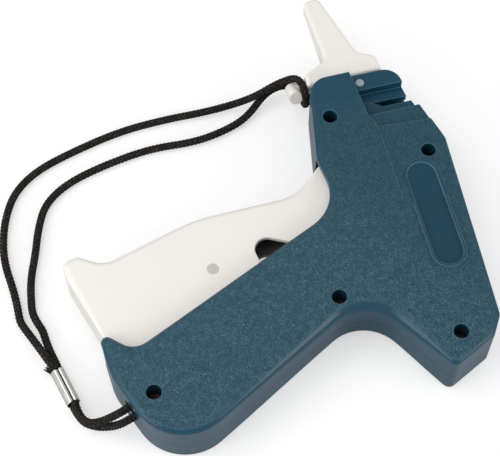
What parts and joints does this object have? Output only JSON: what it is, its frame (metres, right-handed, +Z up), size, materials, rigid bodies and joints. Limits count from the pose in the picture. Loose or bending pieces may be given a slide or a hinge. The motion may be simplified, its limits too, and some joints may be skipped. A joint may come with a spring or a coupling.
{
  "type": "garment tag attacher",
  "caption": "Hand-held tagging gun with a squeezed trigger, a needle under a pull-off cap, a stepped fastener feed recess, a needle lock lever and a cord wrist strap.",
  "frame": {"origin": "on the lower face of the right housing half, straight below the needle's axis", "axes": "+Z up through the tool's thickness as it lies on its right side, +Y the way the needle points, handle towards -X"},
  "size_m": [0.18, 0.1767, 0.0265],
  "materials": {
    "housing": "dark teal with a fine leather-like grain on the outer faces, smooth on the rounded edges",
    "screws": "dark plated self-tapping screws",
    "steel": "bright drawn steel",
    "trigger": "smooth white",
    "insert": "pale grey",
    "works": "natural white engineering plastic",
    "lock_pin": "light grey",
    "cap": "smooth white",
    "strap": "black braided cord",
    "ferrule": "crimped bright metal"
  },
  "bodies": {
    "housing": {"left_housing": "housing", "right_housing": "housing", "housing_screws": "screws", "trigger_pivot_pin": "steel", "drive_lever_pin": "steel", "slide_rail": "steel", "needle": "steel", "needle_holder": "works", "knife_blade": "steel", "index_leaf_spring": "steel", "return_spring": "steel", "strap_cord": "strap", "strap_tail": "strap", "strap_ferrule": "ferrule"},
    "trigger_body": {"trigger": "trigger", "trigger_insert": "insert"},
    "lever_body": {"drive_lever": "works"},
    "slide_body": {"slide_block": "works", "drive_pin": "steel", "push_rod": "steel"},
    "feed_body": {"feed_wheel": "works", "feed_wheel_shaft": "steel"},
    "lock_body": {"needle_lock_lever": "works", "needle_lock_pin": "lock_pin"},
    "cap_body": {"needle_cap": "cap", "strap_hitch": "strap"}
  },
  "joints": [
    {"name": "trigger_squeeze", "type": "hinge", "parent": "housing", "child": "trigger_body", "pos_m": [-0.108, -0.047, 0.013], "axis": [0, 0, -1], "range_deg": [0, 13], "stiffness_Nm_per_rad": 3, "springref_deg": -11.46, "deforming": ["return_spring"]},
    {"name": "lever_swing", "type": "hinge", "parent": "housing", "child": "lever_body", "pos_m": [-0.04, -0.03, 0.013], "axis": [0, 0, 1], "range_deg": [0, 59.7]},
    {"name": "slide_travel", "type": "slide", "parent": "housing", "child": "slide_body", "axis": [0, 1, 0], "range_m": [0, 0.0461]},
    {"name": "feed_wheel_spin", "type": "hinge", "parent": "housing", "child": "feed_body", "pos_m": [0.0076, 0.036, 0.0082], "axis": [0, 1, 0], "continuous": true},
    {"name": "lock_turn", "type": "hinge", "parent": "housing", "child": "lock_body", "pos_m": [0.0062, 0.0486, 0.0015], "axis": [0, 0, 1], "range_deg": [0, 70]},
    {"name": "cap_pull", "type": "slide", "parent": "housing", "child": "cap_body", "axis": [0, 1, 0], "range_m": [0, 0.045]}
  ],
  "couplings": [
    {"joint": "lever_swing", "follows": "trigger_squeeze", "ratio": 4.5846},
    {"joint": "slide_travel", "follows": "trigger_squeeze", "m_per_rad": 0.20274}
  ]
}
